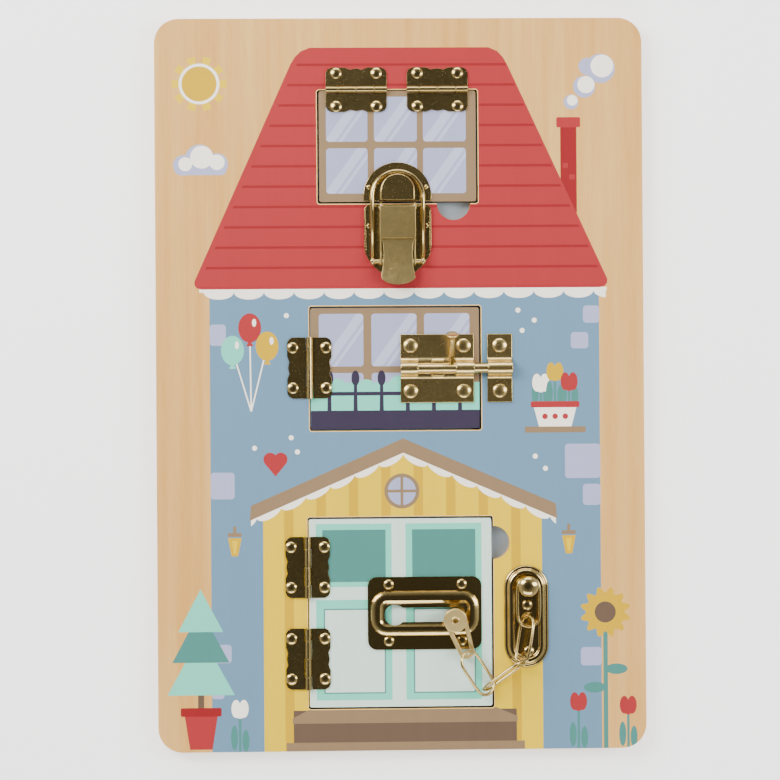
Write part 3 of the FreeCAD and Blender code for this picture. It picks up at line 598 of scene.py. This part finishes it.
def printed_wood():
    """Plywood with the house printed on its play face, bare on its edges and back."""
    s = bpy.context.scene.busy_print
    material, surface, place = new_material("printed_plywood")
    base, streak, pores = wood_grain(place, s)
    ink = Print(place)
    for lay in (lay_sky, lay_wall, lay_roof, lay_middle_window, lay_garden, lay_porch, lay_door):
        base = lay(ink, base, s)
    margin, corner = 0.4, 1.6
    base = paint(base, s.cut_edge, round_openings(ink, (margin, corner), (0, 1.2)))
    grain = streak * 0.10 + pores * 0.05 + 0.925
    tone = grain.node("ShaderNodeCombineXYZ", None, {axis: grain for axis in range(3)})
    base = paint(base, tone, 1.0, "MULTIPLY")
    dark_plies = (ink.z.maths("PINGPONG", 1.0) < 0.42) * 0.55
    edge = paint(s.cut_edge, s.wood_dark, dark_plies)
    edge = paint(edge, s.burnt, round_openings(ink, (margin, corner), (-1, 0.5)))
    play_face = ink.z > (FACE / MM - 0.09)
    feed(surface, "Base Color", paint(edge, base, play_face))
    feed(surface, "Roughness", noise(place, 0.35, detail=2) * 0.16 + 0.44)
    feed(surface, "Specular IOR Level", 0.2)
    bumped(surface, pores * 0.7 + streak * 0.5, 0.12 * MM, 0.35)
    return material


def back_wood():
    """The back sheet: bare plywood, blue on the face that the finger notches show."""
    s = bpy.context.scene.busy_print
    material, surface, place = new_material("back_plywood")
    bare, streak, pores = wood_grain(place, s)
    ink = Print(place)
    dark_plies = (ink.z.maths("PINGPONG", 0.75) < 0.3) * 0.5
    sheet = paint(bare, s.wood_dark, dark_plies * (ink.z > 0.1))
    upper_face = ink.z > (BACK_TOP / MM - 0.05)
    feed(surface, "Base Color", paint(sheet, paint(s.notch, s.notch_dark, streak), upper_face))
    feed(surface, "Roughness", noise(place, 0.3, detail=2) * 0.15 + 0.5)
    bumped(surface, pores + streak * 0.5, 0.15 * MM, 0.4)
    return material


def brass_finish(name, roughness, tone=1.0):
    """Polished plating with faint waves, cloudy wear, fine rubbing marks and small bright specks; tone makes
    this piece's brass lighter or darker than the other pieces', as painted light and shade.
    """
    s = bpy.context.scene.busy_hardware
    material, surface, place = new_material(name)
    broad = noise(place, 0.018, detail=1)
    cloud = noise(place, 0.12, detail=4, rough=0.6)
    rub = noise(place, 0.7, detail=5, rough=0.7)
    wave = noise(place, 0.14, detail=1)
    speck = noise(place, 2.4, detail=1) > 0.75
    # tone scales both brass colours: painted light and shade, so one piece looks brighter or darker than
    # another piece of the same metal.
    polished, thin = (tuple(c * tone for c in colour) for colour in (s.brass, s.brass_deep))
    worn = (cloud * 0.7 + broad * 0.7 + rub * 0.2 - 0.35) * 1.6
    metal = paint(polished, thin, spread(worn))
    feed(surface, "Base Color", paint(metal, s.brass_bright, speck * 0.4))
    feed(surface, "Metallic", 1.0)
    feed(surface, "Roughness", rub * 0.16 + cloud * 0.08 + speck * 0.1 + (roughness - 0.1))
    bumped(surface, rub * 0.35 + wave * 2.0, 0.2 * MM, 0.24)
    return material


def body_holding(node):
    return next(name for name, nodes in frame["record"]["behaviour"]["bodies"].items() if node in nodes)


def mesh_object(name, shape, material, node):
    """A finished piece from a bmesh: stands for its CAD node and rides that node's body."""
    mesh = bpy.data.meshes.new(name)
    shape.to_mesh(mesh)
    shape.free()
    for face in mesh.polygons:
        face.use_smooth = True
    mesh.materials.append(material)
    piece = bpy.data.objects.new(name, mesh)
    bpy.context.scene.collection.objects.link(piece)
    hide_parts(node)
    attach(piece, body_holding(node))
    return piece


def merged_copy(node):
    """The CAD node's mesh as one skin."""
    shape = bmesh.new()
    shape.from_mesh(frame["nodes"][node].data)
    bmesh.ops.remove_doubles(shape, verts=shape.verts, dist=MERGE)
    return shape


def pressed_rim(shape):
    """The outer upper edge of a plate's pressed rim: the widest ring of edges at its full height."""
    level, bend = 0.02 * MM, math.radians(12)
    top = max(vert.co.z for vert in shape.verts)
    crest = [edge for edge in shape.edges if all(vert.co.z > top - level for vert in edge.verts)]
    crest = [edge for edge in crest if len(edge.link_faces) == 2 and edge.calc_face_angle(0) > bend]
    reach = max(vert.co.y for edge in crest for vert in edge.verts)
    ring = {vert for edge in crest for vert in edge.verts if vert.co.y > reach - level}
    while True:
        grown = ring | {vert for edge in crest if ring & set(edge.verts) for vert in edge.verts}
        if grown == ring:
            return [edge for edge in crest if edge.verts[0] in ring]
        ring = grown


def turned_down_sides(shape):
    """The edges where an upper face turns down into a side wall."""
    found = []
    sharp, steep = math.radians(50), 0.7
    for edge in shape.edges:
        normals = [face.normal for face in edge.link_faces]
        if len(normals) == 2 and edge.is_convex and edge.calc_face_angle(0) > sharp:
            upper, side = sorted(normals, key=lambda normal: -normal.z)
            if upper.z > steep and abs(side.x) > steep:
                found.append(edge)
    return found


def dressed(node, material, edge=None, limit=36, swept=None, sweep=0.0):
    """The node's own form with softly rounded edges, and with chosen edges swept round more widely."""
    shape = merged_copy(node)
    bmesh.ops.dissolve_limit(shape, angle_limit=math.radians(0.5), verts=shape.verts, edges=shape.edges)
    if swept:
        shape.normal_update()
        lines = swept(shape)
        ends = list({vert for line in lines for vert in line.verts})
        bmesh.ops.bevel(
            shape,
            geom=lines + ends,
            offset=sweep,
            segments=5,
            profile=0.5,
            affect="EDGES",
            material=-1,
            clamp_overlap=True,
        )
    for line in shape.edges:
        line.smooth = len(line.link_faces) == 2 and line.calc_face_angle(0) < math.radians(limit)
    piece = mesh_object(node + "_dressed", shape, material, node)
    rounding = piece.modifiers.new("Rounded edges", "BEVEL")
    rounding.width = bpy.context.scene.busy_hardware.edge if edge is None else edge
    rounding.segments = 3
    rounding.limit_method = "ANGLE"
    rounding.angle_limit = math.radians(limit)
    rounding.use_clamp_overlap = True
    rounding.miter_outer = "MITER_ARC"
    even = piece.modifiers.new("Even shading", "WEIGHTED_NORMAL")
    even.keep_sharp = True


def round_wire(node, material, grow):
    """A bent wire: the node's many-sided tube made round."""
    shape = merged_copy(node)
    bmesh.ops.join_triangles(
        shape, faces=shape.faces, angle_face_threshold=math.radians(8), angle_shape_threshold=math.pi
    )
    shape.normal_update()
    for vert in shape.verts:
        vert.co += vert.normal * grow
    piece = mesh_object(node + "_wire", shape, material, node)
    rounding = piece.modifiers.new("Round wire", "SUBSURF")
    rounding.levels = rounding.render_levels = 2


def islands(node):
    """The middle, radius, lowest and highest point of each solid in a node."""
    shape = merged_copy(node)
    left = set(shape.verts)
    found = []
    while left:
        group, reach = set(), [left.pop()]
        while reach:
            vert = reach.pop()
            group.add(vert)
            near = {edge.other_vert(vert) for edge in vert.link_edges} & left
            left -= near
            reach.extend(near)
        xs, ys, zs = ([vert.co[axis] for vert in group] for axis in range(3))
        middle = ((min(xs) + max(xs)) / 2, (min(ys) + max(ys)) / 2)
        found.append((middle, (max(xs) - min(xs)) / 2, min(zs), max(zs)))
    shape.free()
    return found


def turned(shape, outline, sides, place):
    """Spin an outline of radius and height round z into the bmesh, then put it in its place."""
    verts = [shape.verts.new((max(radius, 0.0), 0, height)) for radius, height in outline]
    edges = [shape.edges.new(pair) for pair in zip(verts, verts[1:])]
    before = set(shape.verts) - set(verts)
    bmesh.ops.spin(
        shape,
        geom=verts + edges,
        axis=(0, 0, 1),
        cent=(0, 0, 0),
        angle=math.tau,
        steps=sides,
        use_merge=True,
        use_duplicate=False,
    )
    made = [vert for vert in shape.verts if vert not in before]
    bmesh.ops.remove_doubles(shape, verts=made, dist=MERGE / 2)
    made = [vert for vert in shape.verts if vert not in before]
    rims = [edge for edge in shape.edges if edge.is_boundary and edge.verts[0] not in before]
    if rims:
        bmesh.ops.holes_fill(shape, edges=rims, sides=0)
    faces = [face for face in shape.faces if face.verts[0] not in before]
    bmesh.ops.recalc_face_normals(shape, faces=faces)
    bmesh.ops.transform(shape, matrix=place, verts=made)


def dome(radius, low, high, fullness=1.0):
    """The outline of a round head, from its rim to its top."""
    steps = 10
    quarter = [step * math.pi / 2 / steps for step in range(steps + 1)]
    return [(radius * math.cos(turn), low + (high - low) * math.sin(turn) ** fullness) for turn in quarter]


def rivet_heads(node, material):
    """Round polished heads with their shanks, one for each solid of the node."""
    settings = bpy.context.scene.busy_hardware
    shank, under, fullness = 0.42, 0.97, 0.92
    whole = bmesh.new()
    for (x, y), radius, low, high in islands(node):
        seat = low + settings.rivet_shank
        outline = [(radius * shank, low), (radius * shank, seat), (radius * under, seat)]
        outline += dome(radius, seat, high, fullness)[1:]
        turned(whole, outline, settings.crown_sides, Matrix.Translation((x, y, 0)))
    mesh_object(node + "_heads", whole, material, node)


class BUSY_OT_boards(bpy.types.Operator):
    """Print the house on the front board and its three doors, and finish the back sheet"""

    bl_idname = "busy.boards"
    bl_label = "Boards"

    def execute(self, context):
        printed = printed_wood()
        finishes = {node: printed for node in BOARDS}
        finishes["back_panel"] = back_wood()
        for node, finish in finishes.items():
            materials = frame["nodes"][node].data.materials
            materials.clear()
            materials.append(finish)
        return {"FINISHED"}


class BUSY_OT_hinges(bpy.types.Operator):
    """Round the hinge leaves and set their rivets"""

    bl_idname = "busy.hinges"
    bl_label = "Hinges"

    def execute(self, context):
        # The hinge leaves' brass is darkened to 0.72: painted shade.
        leaf = brass_finish("hinge_brass", 0.2, 0.72)
        head = brass_finish("hinge_rivet_brass", 0.14)
        for hinge in HINGES:
            dressed(hinge + "_fixed_leaf", leaf)
            dressed(hinge + "_moving_leaf", leaf)
            dressed(hinge + "_pin", leaf, 0.1 * MM, 40)
        for node in HINGE_RIVETS:
            rivet_heads(node, head)
        return {"FINISHED"}


class BUSY_OT_latch(bpy.types.Operator):
    """Dress the toggle latch on the roof window"""

    bl_idname = "busy.latch"
    bl_label = "Toggle latch"

    def execute(self, context):
        # The latch plates' brass is lightened to 1.1: painted light.
        plate = brass_finish("latch_brass", 0.18, 1.1)
        lever = brass_finish("latch_lever_brass", 0.3)
        for node in ("latch_base", "strike_plate"):
            dressed(node, plate, 0.22 * MM)
        dressed("latch_lever", lever, 0.25 * MM, swept=turned_down_sides, sweep=0.7 * MM)
        for node in ("lever_pivot_pin", "bail_pin"):
            dressed(node, plate, 0.15 * MM, 40)
        self.bail(brass_finish("bail_brass", 0.12))
        for node in ("latch_base_rivets", "strike_rivets"):
            rivet_heads(node, plate)
        return {"FINISHED"}

    def bail(self, material):
        """The wire bail: an arch on two legs that end in flattened eyes."""
        low, high = (Vector(corner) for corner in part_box("latch_bail"))
        wire = 1.05 * MM
        eye, bore, thick, corner = 2.05 * MM, 0.98 * MM, 0.75 * MM, 0.25 * MM
        middle = (low.x + high.x) / 2
        half = (high.x - low.x) / 2 - wire
        bend = high.y - half - wire
        height = FACE + 3.1 * MM
        shape = bmesh.new()
        ring = bmesh.ops.create_circle(shape, segments=20, radius=wire)["verts"]
        bmesh.ops.rotate(shape, verts=ring, cent=(0, 0, 0), matrix=Matrix.Rotation(math.pi / 2, 3, "X"))
        bmesh.ops.translate(shape, verts=ring, vec=(half, 0, 0))
        edges = list(shape.edges)
        arch = bmesh.ops.spin(
            shape, geom=ring + edges, axis=(0, 0, 1), cent=(0, 0, 0), angle=math.pi, steps=32
        )
        ends = [item for item in arch["geom_last"] if isinstance(item, bmesh.types.BMEdge)]
        for loop in (edges, ends):
            leg = bmesh.ops.extrude_edge_only(shape, edges=loop)["geom"]
            feet = [item for item in leg if isinstance(item, bmesh.types.BMVert)]
            bmesh.ops.translate(shape, verts=feet, vec=(0, low.y + 2 * eye - bend, 0))
            last = [item for item in leg if isinstance(item, bmesh.types.BMEdge) and item.is_boundary]
            bmesh.ops.contextual_create(shape, geom=last)
        bmesh.ops.recalc_face_normals(shape, faces=shape.faces)
        bmesh.ops.translate(shape, verts=shape.verts, vec=(middle, bend, height))
        lower = [(bore, -thick), (eye - corner, -thick), (eye, corner - thick)]
        upper = [(eye, thick - corner), (eye - corner, thick), (bore, thick)]
        for side in (-1, 1):
            place = Matrix.Translation((middle + side * half, low.y + eye, height))
            turned(shape, lower + upper + lower[:1], 32, place @ Matrix.Rotation(math.pi / 2, 4, "Y"))
        mesh_object("latch_bail_wire", shape, material, "latch_bail")


class BUSY_OT_bolt(bpy.types.Operator):
    """Dress the barrel bolt on the middle window"""

    bl_idname = "busy.bolt"
    bl_label = "Barrel bolt"

    def execute(self, context):
        # The bolt's brass is lightened to 1.2: painted light.
        plate = brass_finish("bolt_brass", 0.22, 1.2)
        for node in ("bolt_plate", "bolt_keeper", "bolt_rod"):
            dressed(node, plate, 0.2 * MM)
        for node in ("bolt_rivets", "keeper_rivets"):
            rivet_heads(node, plate)
        self.knob(plate)
        return {"FINISHED"}

    def knob(self, material):
        """The knob: a slim stem that flares to a trumpet head."""
        lean = math.radians(-60)
        stem, stem_low, stem_high = 1.2, 2.66, 15.7
        flare_out, flare_rise, bend, steps = 1.9, 2.7, 2.2, 8
        shares = [step / steps for step in range(steps + 1)]
        flare = [(stem + flare_out * share**bend, stem_high + flare_rise * share) for share in shares]
        crown = [(3.1, 18.8), (2.9, 19.02), (2.5, 19.1), (0, 19.1)]
        outline = [(0.2, stem_low), (stem, stem_low), *flare, *crown]
        low, high = (Vector(corner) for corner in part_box("bolt_knob"))
        rod_low, rod_high = (Vector(corner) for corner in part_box("bolt_rod"))
        rod = (rod_low + rod_high) / 2
        foot = ((low.x + high.x) / 2, rod.y, rod.z)
        shape = bmesh.new()
        place = Matrix.Translation(foot) @ Matrix.Rotation(lean, 4, "X")
        turned(shape, [(radius * MM, height * MM) for radius, height in outline], 48, place)
        mesh_object("bolt_knob_turned", shape, material, "bolt_knob")


class BUSY_OT_chain_lock(bpy.types.Operator):
    """Dress the slot plate, slider, chain and anchor on the door"""

    bl_idname = "busy.chain_lock"
    bl_label = "Chain lock"

    def execute(self, context):
        plate = brass_finish("chain_plate_brass", 0.13)
        wire = brass_finish("chain_wire_brass", 0.15)
        # The slider's and end link's brass is lightened to 1.3: painted light.
        slider = brass_finish("slider_brass", 0.34, 1.3)
        dressed("slot_plate", plate, 0.3 * MM, 20, swept=pressed_rim, sweep=1.3 * MM)
        dressed("anchor_plate", plate, 0.25 * MM, 20)
        dressed("chain_slider", slider, 0.2 * MM, 30)
        dressed("slider_end_link", slider, 0.25 * MM, 30)
        for node in ("anchor_link", "chain_link_2", "chain_link_3", "chain_link_4"):
            round_wire(node, wire, 0.16 * MM)
        for node in ("slot_plate_rivets", "anchor_screws"):
            rivet_heads(node, plate)
        self.button(plate)
        return {"FINISHED"}

    def button(self, material):
        """The round button that holds the chain."""
        low, high = (Vector(corner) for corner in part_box("anchor_button"))
        middle = (low + high) / 2
        head = (high.x - low.x) / 2
        neck = 2.6 * MM
        rim = FACE + 5.3 * MM
        under = [(neck, low.z), (neck, rim - 0.25 * MM), (head * 0.93, rim - 0.2 * MM)]
        shape = bmesh.new()
        turned(shape, under + dome(head, rim, high.z), 64, Matrix.Translation((middle.x, middle.y, 0)))
        mesh_object("anchor_button_turned", shape, material, "anchor_button")


class BUSY_OT_stage(bpy.types.Operator):
    """Set the floor, the soft light and the camera"""

    bl_idname = "busy.stage"
    bl_label = "Stage"

    def execute(self, context):
        settings = context.scene.busy_stage
        self.floor(settings)
        for name, place, size, share in (
            ("key_left", (-0.75, 0.45, 0.75), (0.45, 0.7), 1.0),
            ("fill_right", (0.8, 0.1, 0.7), (0.35, 0.7), 0.7),
            ("top_back", (0.0, 1.0, 0.55), (1.0, 0.5), 0.7),
            ("low_front", (0.0, -0.85, 0.65), (0.9, 0.35), 0.45),
            ("small_high", (-0.42, 0.40, 0.85), (0.3, 0.3), 0.2),
        ):
            self.soft_box(name, Vector(place), size, settings.lamp_power * share)
        self.sky(context.scene)
        self.camera(context.scene)
        return {"FINISHED"}

    def floor(self, settings):
        """A wide pale floor that glows a little, just under the board."""
        half_floor, below = 3.0, 0.2 * MM
        shape = bmesh.new()
        bmesh.ops.create_grid(shape, x_segments=2, y_segments=2, size=half_floor)
        bmesh.ops.translate(shape, verts=shape.verts, vec=(0, 0, cad_box[0][2] - below))
        mesh = bpy.data.meshes.new("floor")
        shape.to_mesh(mesh)
        shape.free()
        material, surface, place = new_material("pale_floor")
        darker = tuple(c * 0.985 for c in settings.floor)
        feed(surface, "Base Color", paint(settings.floor, darker, noise(place, 0.004, detail=1)))
        feed(surface, "Roughness", 0.9)
        feed(surface, "Specular IOR Level", 0.1)
        feed(surface, "Emission Color", (1.0, 1.0, 1.0))
        feed(surface, "Emission Strength", 0.8)
        mesh.materials.append(material)
        floor = bpy.data.objects.new("floor", mesh)
        bpy.context.scene.collection.objects.link(floor)

    def soft_box(self, name, place, size, power):
        """A rectangular lamp that faces the board's middle."""
        lamp = bpy.data.lights.new(name, "AREA")
        lamp.shape = "RECTANGLE"
        lamp.size, lamp.size_y = size
        lamp.energy = power
        holder = bpy.data.objects.new(name, lamp)
        holder.location = place
        holder.rotation_euler = (-place).to_track_quat("-Z", "Y").to_euler()
        bpy.context.scene.collection.objects.link(holder)

    def sky(self, scene):
        """Even grey-white surroundings, dimmer overhead so that the brass has depth."""
        world = bpy.data.worlds.new("studio")
        world.use_nodes = True
        scene.world = world
        tree = world.node_tree
        way = Socket(tree, tree.nodes.new("ShaderNodeTexCoord").outputs["Generated"])
        height = way.node("ShaderNodeSeparateXYZ", None, {0: way}, output=2)
        stops = [
            (0.0, (0.9, 0.9, 0.9)),
            (0.45, (1.0, 0.98, 0.95)),
            (0.8, (0.5, 0.49, 0.46)),
            (0.97, (0.08, 0.075, 0.06)),
        ]
        shade = height.node("ShaderNodeValToRGB", {"stops": stops}, {0: height})
        background = tree.nodes["Background"]
        feed(background, "Color", shade)
        feed(background, "Strength", 0.85)

    def camera(self, scene):
        """The photograph's view: almost straight down, from a metre, with a slight roll."""
        eye = Vector((-0.029, -0.007, 1.0))
        aim = Vector((-0.0053, -0.0029, FACE))
        roll = math.radians(0.41)
        half_view = 0.19175
        back = (eye - aim).normalized()
        right = Vector((math.sin(roll), math.cos(roll), 0)).cross(back).normalized()
        up = back.cross(right)
        lens = bpy.data.cameras.new("photo_view")
        lens.sensor_width = 36
        lens.lens = lens.sensor_width / 2 / (half_view / (eye - aim).length)
        lens.clip_start = 0.01
        camera = bpy.data.objects.new("photo_view", lens)
        turn = Matrix((right, up, back)).transposed()
        camera.matrix_world = Matrix.Translation(eye) @ turn.to_4x4()
        scene.collection.objects.link(camera)
        scene.camera = camera


OPERATORS = (BUSY_OT_boards, BUSY_OT_hinges, BUSY_OT_latch, BUSY_OT_bolt, BUSY_OT_chain_lock, BUSY_OT_stage)


class BUSY_PT_panel(bpy.types.Panel):
    """The busy board's sizes, colours and pieces"""

    bl_label = "Wooden busy board"
    bl_idname = "BUSY_PT_panel"
    bl_space_type = "VIEW_3D"
    bl_region_type = "UI"
    bl_category = "Busy board"

    def draw(self, context):
        for name in ("busy_print", "busy_hardware", "busy_stage"):
            group = getattr(context.scene, name)
            box = self.layout.box()
            for key in group.__annotations__:
                box.prop(group, key)
        for operator in OPERATORS:
            self.layout.operator(operator.bl_idname)


CLASSES = (PrintSettings, HardwareSettings, StageSettings, *OPERATORS, BUSY_PT_panel)


def register():
    for item in CLASSES:
        bpy.utils.register_class(item)
    bpy.types.Scene.busy_print = bpy.props.PointerProperty(type=PrintSettings)
    bpy.types.Scene.busy_hardware = bpy.props.PointerProperty(type=HardwareSettings)
    bpy.types.Scene.busy_stage = bpy.props.PointerProperty(type=StageSettings)


def unregister():
    del bpy.types.Scene.busy_stage
    del bpy.types.Scene.busy_hardware
    del bpy.types.Scene.busy_print
    for item in reversed(CLASSES):
        bpy.utils.unregister_class(item)


def main():
    register()
    for operator in OPERATORS:
        group, name = operator.bl_idname.split(".")
        getattr(getattr(bpy.ops, group), name)()


if __name__ == "__main__":
    main()
